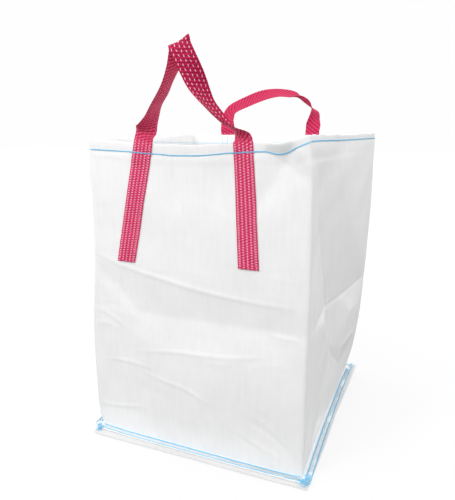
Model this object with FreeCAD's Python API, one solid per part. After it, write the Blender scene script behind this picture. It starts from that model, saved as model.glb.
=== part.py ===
import FreeCAD, Part
import math
import os

# A bulk bag of woven polypropylene: a seamless square tube of cloth, sewn to a square base
# panel, with a turned-in hem at its open top and two webbing handles.
# Millimetres. The origin is the middle of the base on the floor, +Z up, and the bag's front
# wall faces -Y. Cloth is drawn thicker than it is, so that it makes closed solids.

Vec = FreeCAD.Vector

# Cloth body
BASE_HALF = 225.0           # from the middle to each wall at the base
HEIGHT = 600.0              # floor to rim
CLOTH = 1.2                 # one layer of cloth
CORNER_RADIUS = 6.0         # outside of the crease at each upright corner
HEM_DEPTH = 30.0            # the rim is turned in by this much
LIP = 16.0                  # the tube's bottom edge is turned out by this much
FLANGE = 30.0               # the base panel stands out past the walls by this much
LIP_TOP = 2.0 * CLOTH       # the lip lies on the base panel

# The mouth is a little out of square: front left, front right, back right, back left.
BASE_CORNERS = [(-225.0, -225.0), (225.0, -225.0), (225.0, 225.0), (-225.0, 225.0)]
MOUTH_CORNERS = [(-217.0, -225.0), (217.0, -225.0), (248.0, 225.0), (-217.0, 225.0)]

# Thread
HEM_STITCH_DROP = 20.0      # the hem's seam lies this far under the rim
HEM_THREAD = (2.4, 1.2)     # height and depth of the chain stitch outside
HEM_NEEDLE = (1.0, 1.0)     # height and depth of the needle thread inside
SEAM_LINE = 7.0             # the base seam's inner line, measured out from the wall
SEAM_THREAD = 1.2           # width of each line of the base seam
SEAM_MAT = 0.4              # the threads that cross between the two lines
LEG_THREAD = (1.2, 0.6)     # width and depth of a row on the webbing
BOBBIN_THREAD = (0.8, 0.5)  # width and depth of the same row inside the bag
LEG_ROWS = (-13.0, 0.0, 13.0)
ROW_INSET = 5.0             # rows stop this far from the ends of a leg

# Webbing
WEB_WIDTH = 40.0
WEB_THICK = 2.0
LEG_TOP = HEIGHT + 1.0      # a leg leaves the wall just over the rim
LOOP_START = HEIGHT + 15.0  # above this height a handle swings as one stiff loop

# Each leg: x of its middle at the rim, length sewn to the wall, and lean from upright in
# degrees, positive where the foot is further to the left.
LEGS = {
    "front_handle_left": (-84.0, 231.0, 13.5),
    "front_handle_right": (106.0, 214.0, -2.0),
    "back_handle_left": (-119.0, 225.0, 2.0),
    "back_handle_right": (103.0, 225.0, -2.0),
}

# Each loop from its left end to its right end: a point on the strap's mid-line, and the
# direction across the strap, which turns as the strap twists.
FRONT_LOOP = [
    ((-81, -226, 615), (1, 0, 0)),
    ((-76, -229, 628), (0.75, 0.65, 0)),
    ((-65, -233, 643), (0.15, 1, 0)),
    ((-51, -238, 660), (0, 1, 0)),
    ((-37, -243, 678), (0, 1, 0)),
    ((-24, -247, 696), (0, 1, 0.05)),
    ((-13, -249, 715), (0.15, 1, 0.1)),
    ((-4, -249, 734), (0.5, 0.8, 0.35)),
    ((2, -250, 748), (0.7, 0.5, 0.5)),
    ((5, -256, 757), (0.78, 0.34, 0.53)),
    ((8, -263, 751), (0.78, 0.34, 0.53)),
    ((18, -262, 730), (0.87, 0.3, 0.4)),
    ((25, -257, 712), (0.87, 0.45, 0.25)),
    ((33, -252, 694), (0.7, 0.7, 0.15)),
    ((42, -248, 678), (0.45, 0.9, 0.1)),
    ((52, -244, 663), (0.2, 1, 0.1)),
    ((65, -240, 649), (0, 1, 0.1)),
    ((80, -235, 637), (-0.2, 1, 0)),
    ((94, -230, 626), (-0.8, 0.6, 0)),
    ((105, -226, 615), (-1, 0, 0)),
]
BACK_LOOP = [
    ((-119, 226, 615), (1, 0, 0)),
    ((-121, 230, 632), (0.95, -0.25, -0.1)),
    ((-119, 235, 648), (0.9, -0.35, -0.3)),
    ((-112, 237, 660), (0.7, -0.5, -0.5)),
    ((-98, 239, 669), (0.55, -0.6, -0.6)),
    ((-76, 240, 678), (0.45, -0.6, -0.65)),
    ((-44, 242, 690), (0.45, -0.6, -0.65)),
    ((-14, 242, 697), (0.38, -0.7, -0.6)),
    ((18, 242, 699), (0.26, -0.82, -0.5)),
    ((50, 240, 694), (0.14, -0.9, -0.4)),
    ((72, 238, 683), (0.1, -0.95, -0.2)),
    ((92, 235, 668), (0, -1, -0.1)),
    ((102, 231, 652), (-0.1, -1, 0)),
    ((104, 228, 634), (-0.5, -0.85, 0)),
    ((103, 226, 615), (-1, 0, 0)),
]


def corners_at(height):
    """Corners of the tube's outside at a height, between the base's and the mouth's."""
    share = (height - CLOTH) / (HEIGHT - CLOTH)
    pairs = zip(BASE_CORNERS, MOUTH_CORNERS)
    return [Vec(a[0] + share * (b[0] - a[0]), a[1] + share * (b[1] - a[1]), height) for a, b in pairs]


def inset(corners, depth):
    """The same four-sided outline with each side moved in by depth."""
    moved = []
    for i, corner in enumerate(corners):
        along_before = (corner - corners[i - 1]).normalize()
        along_after = (corners[(i + 1) % 4] - corner).normalize()
        turn = along_before.cross(along_after).z
        shift = (along_after - along_before) * (depth / turn)
        moved.append(corner + shift)
    return moved


def rounded_wire(corners, radius):
    """A closed outline with an arc at each corner."""
    starts = []
    middles = []
    ends = []
    for i, corner in enumerate(corners):
        back = (corners[i - 1] - corner).normalize()
        ahead = (corners[(i + 1) % 4] - corner).normalize()
        half_angle = back.getAngle(ahead) / 2.0
        bisector = (back + ahead).normalize()
        reach = radius / math.tan(half_angle)
        starts.append(corner + back * reach)
        ends.append(corner + ahead * reach)
        middles.append(corner + bisector * (radius / math.sin(half_angle) - radius))
    edges = []
    for i in range(4):
        edges.append(Part.Arc(starts[i], middles[i], ends[i]).toShape())
        edges.append(Part.LineSegment(ends[i], starts[(i + 1) % 4]).toShape())
    return Part.Wire(edges)


def tube_core(low, high, depth):
    """Everything inside the tube's outside face moved in by depth, between two heights."""
    radius = CORNER_RADIUS - depth
    wires = [rounded_wire(inset(corners_at(z), depth), radius) for z in (low, high)]
    return Part.makeLoft(wires, True, True)


def tube_ring(low, high, outer, inner):
    """A ring that follows the tube, between two depths under its outside face."""
    return tube_core(low, high, outer).cut(tube_core(low, high, inner))


def box(low, high):
    """A box between two corners."""
    size = [b - a for a, b in zip(low, high)]
    return Part.makeBox(size[0], size[1], size[2], Vec(low[0], low[1], low[2]))


def make_body_tube():
    """The seamless tube, with its hem folded inside and its bottom edge turned out."""
    fold = HEIGHT - HEM_DEPTH
    walls = tube_ring(CLOTH, fold, 0.0, CLOTH)
    hem = tube_ring(fold, HEIGHT, 0.0, 2.0 * CLOTH)
    reach = BASE_HALF + LIP
    lip = box((-reach, -reach, CLOTH), (reach, reach, LIP_TOP))
    lip = lip.cut(tube_core(CLOTH, LIP_TOP, CLOTH))
    return walls.fuse([hem, lip]).removeSplitter()


def make_base_panel():
    """The flat square of cloth under the bag."""
    reach = BASE_HALF + FLANGE
    return box((-reach, -reach, 0.0), (reach, reach, CLOTH))


def seam_strip():
    """Thread of one side's base seam, along X at y = 0 on the wall line, outward to -Y."""
    reach = BASE_HALF + FLANGE
    half = SEAM_THREAD / 2.0
    thread_top = LIP_TOP + 2.0 * SEAM_MAT
    inner_line = box((-reach, -SEAM_LINE - half, LIP_TOP), (reach, -SEAM_LINE + half, thread_top))
    mat = box((-reach, -LIP, LIP_TOP), (reach, -SEAM_LINE, LIP_TOP + SEAM_MAT))
    outer_line = box((-reach, -LIP - SEAM_THREAD, CLOTH), (reach, -LIP, LIP_TOP + SEAM_MAT))
    return inner_line.fuse([mat, outer_line]).removeSplitter()


def make_base_seams():
    """Four seams. The left and right ones pass under the front and back ones at the corners."""
    gap = 0.5
    reach = BASE_HALF + FLANGE
    near = BASE_HALF + SEAM_LINE - SEAM_THREAD / 2.0 - gap
    far = BASE_HALF + LIP + SEAM_THREAD + gap
    crossings = [box((-reach, y, 0.0), (reach, y + far - near, 10.0)) for y in (-far, near)]
    seams = {}
    for name, turn in (("front", 0), ("right", 90), ("back", 180), ("left", 270)):
        strip = seam_strip()
        strip.translate(Vec(0.0, -BASE_HALF, 0.0))
        strip.rotate(Vec(0.0, 0.0, 0.0), Vec(0.0, 0.0, 1.0), turn)
        if name in ("right", "left"):
            strip = strip.cut(Part.makeCompound(crossings))
        seams["base_seam_thread_" + name] = strip
    return seams


def facing(name):
    """-1 for the front wall and its handle, +1 for the back."""
    return -1.0 if name.startswith("front") else 1.0


def leg_frame(name):
    """Middle of a leg at the rim, the direction down along it, and the one across it."""
    middle_x, length, lean = LEGS[name]
    angle = math.radians(lean)
    down = Vec(-math.sin(angle), 0.0, -math.cos(angle))
    across = Vec(math.cos(angle), 0.0, -math.sin(angle))
    return Vec(middle_x, 0.0, HEIGHT), down, across, length


def leg_bar(name, left, right, head, foot, depth_low, depth_high):
    """A flat bar along a leg, between two offsets across it, two distances down it from the
    rim, and two distances off the wall's outside face."""
    middle, down, across, _ = leg_frame(name)
    ends = ((left, head), (right, head), (right, foot), (left, foot))
    corners = [middle + across * offset + down * reach for offset, reach in ends]
    side = facing(name)
    outline = Part.makePolygon(corners + corners[:1])
    outline.translate(Vec(0.0, side * (BASE_HALF + depth_low), 0.0))
    return Part.Face(outline).extrude(Vec(0.0, side * (depth_high - depth_low), 0.0))


def leg_grid(name, width, depth_low, depth_high):
    """Rows of thread along a leg, tied by a row across it at each end."""
    half = width / 2.0
    head = ROW_INSET
    foot = LEGS[name][1] - ROW_INSET
    reach = LEG_ROWS[-1] + half
    bars = [leg_bar(name, x - half, x + half, head, foot, depth_low, depth_high) for x in LEG_ROWS]
    for start in (head, foot - width):
        bars.append(leg_bar(name, -reach, reach, start, start + width, depth_low, depth_high))
    return bars[0].fuse(bars[1:]).removeSplitter()


def make_legs():
    """The sewn legs of both handles, level where they leave the wall."""
    half = WEB_WIDTH / 2.0
    far = 2.0 * HEIGHT
    above = box((-far, -far, LEG_TOP), (far, far, far))
    legs = {}
    for name, (_, length, _) in LEGS.items():
        legs[name + "_leg"] = leg_bar(name, -half, half, -half, length, 0.0, WEB_THICK).cut(above)
    return legs


def make_leg_threads():
    """Rows of needle thread on each leg, and the bobbin rows inside the wall behind it."""
    threads = {}
    fold = HEIGHT - HEM_DEPTH
    hem = tube_ring(fold, HEIGHT, 0.0, 2.0 * CLOTH)
    skin = CLOTH + BOBBIN_THREAD[1]
    hollow = tube_core(CLOTH, fold - BOBBIN_THREAD[1], skin)
    for name in LEGS:
        outside = WEB_THICK + LEG_THREAD[1]
        threads[name + "_needle_thread"] = leg_grid(name, LEG_THREAD[0], WEB_THICK, outside)
        deep = leg_grid(name, BOBBIN_THREAD[0], -CLOTH - skin, -CLOTH)
        threads[name + "_bobbin_thread"] = deep.cut(hem).cut(hollow).removeSplitter()
    return threads


def hem_bridge(name, low, high):
    """The hem's chain stitch where it climbs over a leg: two posts and a bar."""
    middle, down, across, _ = leg_frame(name)
    lean = down.x / down.z
    centre = middle.x + lean * (low - HEIGHT)
    half = WEB_WIDTH / 2.0 / across.x + 1.0
    side = facing(name)
    depth = HEM_THREAD[1]
    reach = WEB_THICK + depth
    walls = sorted((side * BASE_HALF, side * (BASE_HALF + reach)))
    block = box((centre - half - depth, walls[0], low), (centre + half + depth, walls[1], high))
    under = sorted((side * BASE_HALF, side * (BASE_HALF + WEB_THICK)))
    return block, box((centre - half, under[0], low), (centre + half, under[1], high))


def make_hem_threads(leg_threads):
    """The seam that holds the hem: a thick chain stitch outside and a needle thread inside."""
    middle = HEIGHT - HEM_STITCH_DROP
    low = middle - HEM_THREAD[0] / 2.0
    high = middle + HEM_THREAD[0] / 2.0
    chain = tube_ring(low, high, -HEM_THREAD[1], 0.0)
    for name in LEGS:
        block, under = hem_bridge(name, low, high)
        chain = chain.fuse(block).cut(under)
        chain = chain.cut(leg_threads[name + "_needle_thread"])
    low = middle - HEM_NEEDLE[0] / 2.0
    high = middle + HEM_NEEDLE[0] / 2.0
    inner_face = 2.0 * CLOTH
    needle = tube_ring(low, high, inner_face, inner_face + HEM_NEEDLE[1])
    for name in LEGS:
        needle = needle.cut(leg_threads[name + "_bobbin_thread"])
    return {"hem_chain_thread": chain.removeSplitter(), "hem_needle_thread": needle.removeSplitter()}


def web_section(point, across, along):
    """Closed outline of the webbing's cross-section."""
    across = (across - along * across.dot(along)).normalize()
    normal = across.cross(along)
    wide = across * (WEB_WIDTH / 2.0)
    thick = normal * (WEB_THICK / 2.0)
    ring = [point - wide - thick, point + wide - thick, point + wide + thick, point - wide + thick]
    return Part.makePolygon(ring + ring[:1])


def make_loop(stations):
    """One handle's free strap, from its left end round to its right end."""
    points = [Vec(*point) for point, _ in stations]
    wires = []
    for i, (_, across) in enumerate(stations):
        if i == 0:
            along = Vec(0.0, 0.0, 1.0)
        elif i == len(stations) - 1:
            along = Vec(0.0, 0.0, -1.0)
        else:
            along = (points[i + 1] - points[i - 1]).normalize()
        wires.append(web_section(points[i], Vec(*across), along))
    return Part.makeLoft(wires, True, True)


def make_bend(name, loop_end):
    """The short stretch of strap that bends between a leg and its loop."""
    middle, down, across, _ = leg_frame(name)
    side = facing(name)
    lift = LEG_TOP - HEIGHT
    start = Vec(middle.x + lift * down.x / down.z, side * (BASE_HALF + WEB_THICK / 2.0), LEG_TOP)
    wires = []
    for point, half in ((start, WEB_WIDTH / 2.0 / across.x), (loop_end, WEB_WIDTH / 2.0)):
        wide = Vec(half, 0.0, 0.0)
        thick = Vec(0.0, WEB_THICK / 2.0, 0.0)
        ring = [point - wide - thick, point + wide - thick, point + wide + thick, point - wide + thick]
        wires.append(Part.makePolygon(ring + ring[:1]))
    return Part.makeLoft(wires, True, True)


def make_handles():
    """The two loops and the four bends that join them to their legs."""
    handles = {}
    for handle, stations in (("front_handle", FRONT_LOOP), ("back_handle", BACK_LOOP)):
        handles[handle + "_loop"] = make_loop(stations)
        for side, end in (("_left", stations[0][0]), ("_right", stations[-1][0])):
            handles[handle + side + "_bend"] = make_bend(handle + side, Vec(*end))
    return handles


def main():
    """Write one STEP file for each node."""
    nodes = {"body_tube": make_body_tube(), "base_panel": make_base_panel()}
    nodes.update(make_base_seams())
    nodes.update(make_legs())
    leg_threads = make_leg_threads()
    nodes.update(leg_threads)
    nodes.update(make_hem_threads(leg_threads))
    nodes.update(make_handles())
    os.makedirs("parts", exist_ok=True)
    for name, shape in nodes.items():
        shape.exportStep("parts/" + name + ".step")
        print(name, len(shape.Solids), round(shape.Volume, 1), shape.isValid())


main()
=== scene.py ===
"""Open bulk bag of woven cloth with two webbing handles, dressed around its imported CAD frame."""

import math

import bpy
import numpy as np
from mathutils import Matrix, Vector
from mathutils.geometry import delaunay_2d_cdt


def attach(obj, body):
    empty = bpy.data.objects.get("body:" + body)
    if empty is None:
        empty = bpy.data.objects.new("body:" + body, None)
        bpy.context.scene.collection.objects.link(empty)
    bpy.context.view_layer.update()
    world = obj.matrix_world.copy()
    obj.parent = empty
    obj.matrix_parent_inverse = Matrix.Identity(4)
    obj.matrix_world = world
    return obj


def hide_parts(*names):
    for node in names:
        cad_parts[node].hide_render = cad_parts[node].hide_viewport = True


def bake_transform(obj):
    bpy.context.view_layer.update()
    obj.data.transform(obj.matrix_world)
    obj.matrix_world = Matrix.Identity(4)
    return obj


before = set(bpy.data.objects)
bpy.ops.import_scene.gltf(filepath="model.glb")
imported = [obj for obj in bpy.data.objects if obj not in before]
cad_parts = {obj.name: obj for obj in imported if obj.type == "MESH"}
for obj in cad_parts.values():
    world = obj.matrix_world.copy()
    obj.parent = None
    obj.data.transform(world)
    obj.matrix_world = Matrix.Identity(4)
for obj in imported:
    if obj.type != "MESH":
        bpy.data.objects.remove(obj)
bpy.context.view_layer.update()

MM = 0.001
SEED = 11
rng = np.random.default_rng(SEED)
scene = bpy.context.scene


# ---------------------------------------------------------------- helpers

def smoothstep(t):
    t = np.clip(t, 0.0, 1.0)
    return t * t * (3 - 2 * t)


def unit(a):
    return a / np.maximum(np.linalg.norm(a, axis=-1, keepdims=True), 1e-12)


def through(stations, step):
    """Points on one smooth curve through the stations, about one step apart."""
    p = np.asarray(stations, float)
    ends = [2 * p[0] - p[1]], [2 * p[-1] - p[-2]]
    q = np.concatenate([ends[0], p, ends[1]])
    out = []
    for k in range(1, len(q) - 2):
        a, b, c, d = q[k - 1 : k + 3]
        n = max(2, int(np.linalg.norm((c - b)[:3]) / step))
        t = (np.arange(n) / n)[:, None]
        out.append(
            0.5 * (2 * b + (c - a) * t + (2 * a - 5 * b + 4 * c - d) * t**2
                   + (3 * b - a - 3 * c + d) * t**3)
        )
    out.append(p[-1:])
    return np.concatenate(out)


def new_piece(name, points, faces, material, uv=None, smooth=True):
    """A mesh object in the frame. uv holds one pair for each corner of each face."""
    mesh = bpy.data.meshes.new(name)
    mesh.from_pydata(np.asarray(points).tolist(), [], [list(f) for f in faces])
    mesh.validate()
    if smooth:
        mesh.shade_smooth()
    if uv is not None:
        layer = mesh.uv_layers.new(name="cloth")
        layer.data.foreach_set("uv", np.asarray(uv, np.float32).ravel())
    mesh.materials.append(material)
    piece = bpy.data.objects.new(name, mesh)
    scene.collection.objects.link(piece)
    return piece


# ---------------------------------------------------------------- camera and stage

CAMERA_AT = (0.402, -0.998, 0.638)
CAMERA_YAW, CAMERA_TILT, CAMERA_ROLL = 23.165, 75.32, -0.363
CAMERA_LENS = 36.04


def make_camera():
    data = bpy.data.cameras.new("camera")
    camera = bpy.data.objects.new("camera", data)
    scene.collection.objects.link(camera)
    turn = (
        Matrix.Rotation(math.radians(CAMERA_YAW), 4, "Z")
        @ Matrix.Rotation(math.radians(CAMERA_TILT), 4, "X")
        @ Matrix.Rotation(math.radians(CAMERA_ROLL), 4, "Z")
    )
    camera.matrix_world = Matrix.Translation(CAMERA_AT) @ turn
    data.lens = CAMERA_LENS
    data.sensor_width = 36
    data.clip_end = 100
    scene.camera = camera


# The stage looks white to the camera, and gives the object soft light mostly from above.
SKY_LIGHT, SKY_SEEN, PAPER_GLOW, PAPER_BOUNCE = 1.28, 0.99, 0.72, 0.26


def area_light(name, at, aim, size, power, colour=(1, 1, 1)):
    data = bpy.data.lights.new(name, "AREA")
    data.shape = "DISK"
    data.size, data.energy, data.color = size, power, colour
    lamp = bpy.data.objects.new(name, data)
    scene.collection.objects.link(lamp)
    lamp.location = at
    lamp.rotation_euler = (Vector(aim) - Vector(at)).to_track_quat("-Z", "Y").to_euler()


def make_stage():
    scene.view_settings.view_transform = "Standard"
    scene.view_settings.look = "None"
    world = bpy.data.worlds.new("studio")
    scene.world = world
    world.use_nodes = True
    nodes, links = world.node_tree.nodes, world.node_tree.links
    sky = nodes["Background"]
    sky.inputs["Color"].default_value = (1.0, 1.0, 1.0, 1)
    rays = nodes.new("ShaderNodeLightPath")
    level = nodes.new("ShaderNodeMapRange")
    level.inputs["To Min"].default_value = SKY_LIGHT
    level.inputs["To Max"].default_value = SKY_SEEN
    links.new(rays.outputs["Is Camera Ray"], level.inputs["Value"])
    links.new(level.outputs[0], sky.inputs["Strength"])
    paper = bpy.data.materials.new("studio_paper")
    paper.use_nodes = True
    shader = paper.node_tree.nodes["Principled BSDF"]
    shader.inputs["Base Color"].default_value = (0.2, 0.2, 0.2, 1)
    shader.inputs["Roughness"].default_value = 0.9
    shader.inputs["Emission Color"].default_value = (1, 1, 1, 1)
    shader.inputs["Emission Strength"].default_value = PAPER_GLOW
    nodes, links = paper.node_tree.nodes, paper.node_tree.links
    dull = nodes.new("ShaderNodeBsdfDiffuse")
    dull.inputs["Color"].default_value = (PAPER_BOUNCE, PAPER_BOUNCE, PAPER_BOUNCE, 1)
    rays = nodes.new("ShaderNodeLightPath")
    choose = nodes.new("ShaderNodeMixShader")
    links.new(rays.outputs["Is Camera Ray"], choose.inputs[0])
    links.new(dull.outputs[0], choose.inputs[1])
    links.new(shader.outputs[0], choose.inputs[2])
    links.new(choose.outputs[0], nodes["Material Output"].inputs["Surface"])
    half, drop, n = 9.0, -0.0006, 13
    line = np.linspace(-half, half, n)
    x, y = np.meshgrid(line, line)
    points = np.stack([x, y, np.full_like(x, drop)], -1).reshape(-1, 3)
    faces = [
        (r * n + c, r * n + c + 1, (r + 1) * n + c + 1, (r + 1) * n + c)
        for r in range(n - 1)
        for c in range(n - 1)
    ]
    new_piece("studio_floor", points, faces, paper)
    area_light("key", (-0.50, -1.25, 1.50), (0, -0.1, 0.35), 0.45, 7.2)
    data = bpy.data.lights.new("through_cloth", "POINT")
    data.energy, data.shadow_soft_size = 0.43, 0.12
    glow = bpy.data.objects.new("through_cloth", data)
    scene.collection.objects.link(glow)
    glow.location = (0.03, 0.0, 0.47)
    glow.visible_camera = False


make_camera()
make_stage()


# ---------------------------------------------------------------- materials

class Graph:
    """Short names for building one procedural material."""

    def __init__(self, name):
        self.material = bpy.data.materials.new(name)
        self.material.use_nodes = True
        self.nodes = self.material.node_tree.nodes
        self.links = self.material.node_tree.links
        self.shader = self.nodes["Principled BSDF"]

    def put(self, socket, value):
        if isinstance(value, bpy.types.NodeSocket):
            self.links.new(value, socket)
        else:
            socket.default_value = value

    def math(self, operation, a, b=0.0, c=0.0):
        node = self.nodes.new("ShaderNodeMath")
        node.operation = operation
        for socket, value in zip(node.inputs, (a, b, c)):
            self.put(socket, value)
        return node.outputs[0]

    def uv(self):
        node = self.nodes.new("ShaderNodeUVMap")
        node.uv_map = "cloth"
        parts = self.nodes.new("ShaderNodeSeparateXYZ")
        self.links.new(node.outputs[0], parts.inputs[0])
        return node.outputs[0], parts.outputs[0], parts.outputs[1]

    def place(self):
        return self.nodes.new("ShaderNodeTexCoord").outputs["Object"]

    def stretch(self, vector, scale):
        node = self.nodes.new("ShaderNodeMapping")
        self.links.new(vector, node.inputs["Vector"])
        node.inputs["Scale"].default_value = scale
        return node.outputs[0]

    def noise(self, vector, scale, detail=2.0, rough=0.5):
        node = self.nodes.new("ShaderNodeTexNoise")
        self.links.new(vector, node.inputs["Vector"])
        node.inputs["Scale"].default_value = scale
        node.inputs["Detail"].default_value = detail
        node.inputs["Roughness"].default_value = rough
        return node.outputs["Fac"]

    def chance(self, value):
        node = self.nodes.new("ShaderNodeTexWhiteNoise")
        node.noise_dimensions = "1D"
        self.put(node.inputs["W"], value)
        return node.outputs["Value"]

    def ramp(self, value, *stops):
        node = self.nodes.new("ShaderNodeValToRGB")
        marks = node.color_ramp.elements
        while len(marks) < len(stops):
            marks.new(0.5)
        for mark, (at, colour) in zip(marks, stops):
            mark.position = at
            mark.color = (*colour, 1)
        self.put(node.inputs[0], value)
        return node.outputs[0]

    def mix(self, factor, a, b):
        node = self.nodes.new("ShaderNodeMix")
        node.data_type = "RGBA"
        self.put(node.inputs["Factor"], factor)
        self.put(node.inputs[6], a if not isinstance(a, tuple) else (*a, 1))
        self.put(node.inputs[7], b if not isinstance(b, tuple) else (*b, 1))
        return node.outputs[2]

    def attribute(self, name):
        node = self.nodes.new("ShaderNodeAttribute")
        node.attribute_name = name
        return node.outputs["Fac"]

    def bump(self, height, distance, strength):
        node = self.nodes.new("ShaderNodeBump")
        node.inputs["Distance"].default_value = distance
        node.inputs["Strength"].default_value = strength
        self.put(node.inputs["Height"], height)
        self.put(self.shader.inputs["Normal"], node.outputs[0])

    def colour(self, value):
        self.put(self.shader.inputs["Base Color"], value)

    def set(self, **values):
        for name, value in values.items():
            self.put(self.shader.inputs[name.replace("_", " ")], value)


def pillow(g, f):
    """Height across one tape: flat on top, falling at both edges."""
    t = g.math("MULTIPLY_ADD", f, 2.0, -1.0)
    return g.math("SUBTRACT", 1.0, g.math("POWER", g.math("ABSOLUTE", t), 3.0))


def woven_cloth(name, white):
    """White flat-tape weave with tape-to-tape tone, painted shade where the tapes dip at their edges,
    faint handling marks and a soft sheen.
    """
    g = Graph(name)
    vector, u, v = g.uv()
    tape = 0.0026
    a, b = g.math("DIVIDE", u, tape), g.math("DIVIDE", v, tape)
    ia, ib = g.math("FLOOR", a), g.math("FLOOR", b)
    over = g.math("MODULO", g.math("ADD", ia, ib), 2.0)
    over = g.math("ABSOLUTE", over)
    warp, weft = pillow(g, g.math("FRACT", a)), pillow(g, g.math("FRACT", b))
    height = g.math(
        "ADD",
        g.math("MULTIPLY", over, warp),
        g.math("MULTIPLY", g.math("SUBTRACT", 1.0, over), weft),
    )
    tone = g.math(
        "ADD",
        g.math("MULTIPLY", over, g.chance(ia)),
        g.math("MULTIPLY", g.math("SUBTRACT", 1.0, over), g.chance(g.math("ADD", ib, 0.37))),
    )
    marks = g.noise(g.place(), 9.0, 4.0, 0.6)
    fine = g.noise(g.stretch(g.place(), (1.0, 1.0, 0.22)), 120.0, 2.0)
    lightness = g.math("MULTIPLY_ADD", tone, 0.10, g.math("MULTIPLY_ADD", marks, 0.45, -0.10))
    # Painted shade: each tape is lighter on its raised middle and darker where it falls at its edges.
    lightness = g.math("ADD", lightness, g.math("MULTIPLY", height, 0.16))
    lightness = g.math("ADD", lightness, g.math("MULTIPLY", fine, 0.42))
    g.colour(g.ramp(
        lightness,
        (0.15, (0.925 * white, 0.925 * white, 0.935 * white)),
        (0.55, (white, white, white)),
        (0.85, (1.04 * white, 1.04 * white, 1.035 * white)),
    ))
    g.set(
        Roughness=g.math("MULTIPLY_ADD", fine, 0.22, 0.46),
        Sheen_Weight=0.12,
        Sheen_Roughness=0.4,
    )
    g.shader.inputs["Specular IOR Level"].default_value = 0.35
    g.bump(g.math("ADD", height, g.math("MULTIPLY", fine, 0.6)), 0.00022, 0.35)
    return g.material


def fleck(g, u, v, column, pitch, slant, wide, long):
    """1 inside short slanted dashes that lie in columns, turned the other way in each next one."""
    a = g.math("DIVIDE", u, column)
    i = g.math("FLOOR", a)
    odd = g.math("ABSOLUTE", g.math("MODULO", i, 2.0))
    b = g.math("ADD", g.math("DIVIDE", v, pitch), g.math("MULTIPLY", odd, 0.5))
    x = g.math("MULTIPLY", g.math("SUBTRACT", g.math("FRACT", a), 0.5), column)
    y = g.math("MULTIPLY", g.math("SUBTRACT", g.math("FRACT", b), 0.5), pitch)
    way = g.math("MULTIPLY_ADD", odd, 2.0 * slant, -slant)
    x = g.math("SUBTRACT", x, g.math("MULTIPLY", y, way))
    x, y = g.math("DIVIDE", x, wide / 2), g.math("DIVIDE", y, long / 2)
    r = g.math("ADD", g.math("MULTIPLY", x, x), g.math("MULTIPLY", y, y))
    node = g.nodes.new("ShaderNodeMapRange")
    node.interpolation_type = "SMOOTHSTEP"
    g.links.new(r, node.inputs["Value"])
    node.inputs["From Min"].default_value = 1.35
    node.inputs["From Max"].default_value = 0.45
    node.inputs["To Min"].default_value = 0.0
    node.inputs["To Max"].default_value = 1.0
    return node.outputs[0]


def webbing(name, ribs_only):
    """Crimson webbing: twill ribs on its outer face, light pink flecks on the inner as painted
    highlights on its raised floats, a light grid where sewn as painted highlights on the stitching.
    """
    g = Graph(name)
    vector, u, v = g.uv()
    inner = g.attribute("inner")
    sewn = g.attribute("sewn")
    rib_pitch = 0.0088 if ribs_only else 0.0054
    rib_slope = 0.018 if ribs_only else -0.014
    diagonal = g.math("ADD", g.math("DIVIDE", v, rib_pitch), g.math("DIVIDE", u, rib_slope))
    rib = g.math("SINE", g.math("MULTIPLY", diagonal, 2 * math.pi))
    rib = g.math("MULTIPLY_ADD", rib, 0.5, 0.5)
    yarn = g.noise(g.stretch(vector, (2600.0, 900.0, 1.0)), 1.0, 2.0)
    soft = g.noise(g.place(), 34.0, 3.0)
    tone = g.math("ADD", g.math("MULTIPLY", rib, 0.62), g.math("MULTIPLY", yarn, 0.30))
    tone = g.math("ADD", tone, g.math("MULTIPLY_ADD", soft, 0.35, -0.12))
    if ribs_only:
        plain = g.ramp(tone, (0.12, (0.32, 0.004, 0.040)), (0.80, (0.68, 0.036, 0.125)))
    else:
        outside = g.ramp(tone, (0.12, (0.34, 0.004, 0.042)), (0.85, (0.80, 0.060, 0.165)))
        inside = g.ramp(tone, (0.15, (0.25, 0.002, 0.028)), (0.85, (0.55, 0.010, 0.088)))
        plain = g.mix(inner, outside, inside)
    # Painted highlights: light pink flecks where the raised floats catch the light.
    pale = (0.90, 0.58, 0.64) if not ribs_only else (0.86, 0.26, 0.36)
    dashes = fleck(g, u, v, 0.0076, 0.0078, 0.20, 0.0018, 0.0044)
    strength = 0.12 if ribs_only else 0.80
    loose = g.math("MULTIPLY", g.math("MULTIPLY", dashes, inner), strength)
    loose = g.math("ADD", loose, g.math(
        "MULTIPLY",
        g.math("MULTIPLY", fleck(g, u, v, 0.0080, 0.0054, 0.6, 0.0020, 0.0044), 0.16),
        g.math("SUBTRACT", 1.0, inner),
    ))
    free = g.mix(loose, plain, pale)
    # Painted highlights: a light pink grid on the sewn legs where the stitching catches the light.
    grid = fleck(g, u, v, 0.0080, 0.0045, 0.15, 0.0040, 0.0026)
    ground = g.ramp(tone, (0.2, (0.50, 0.014, 0.085)), (0.85, (0.74, 0.055, 0.17)))
    sewn_face = g.mix(g.math("MULTIPLY", grid, 0.80), ground, (0.90, 0.44, 0.53))
    g.colour(g.mix(sewn, free, sewn_face))
    g.set(Roughness=g.math("MULTIPLY_ADD", yarn, 0.2, 0.50))
    g.shader.inputs["Specular IOR Level"].default_value = 0.16
    height = g.math("ADD", g.math("MULTIPLY", rib, 0.5), g.math("MULTIPLY", yarn, 0.5))
    height = g.math("ADD", height, g.math("MULTIPLY", dashes, 0.5))
    g.bump(height, 0.0004, 0.6)
    return g.material


def thread(name, dark, light):
    """Twisted sewing thread."""
    g = Graph(name)
    place = g.place()
    twist = g.noise(place, 1500.0, 1.0)
    worn = g.noise(place, 60.0, 2.0)
    g.colour(g.ramp(g.math("MULTIPLY_ADD", twist, 0.5, g.math("MULTIPLY", worn, 0.5)),
                    (0.3, dark), (0.7, light)))
    g.set(Roughness=g.math("MULTIPLY_ADD", twist, 0.25, 0.38), Sheen_Weight=0.2)
    g.bump(twist, 0.0002, 0.5)
    return g.material


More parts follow.
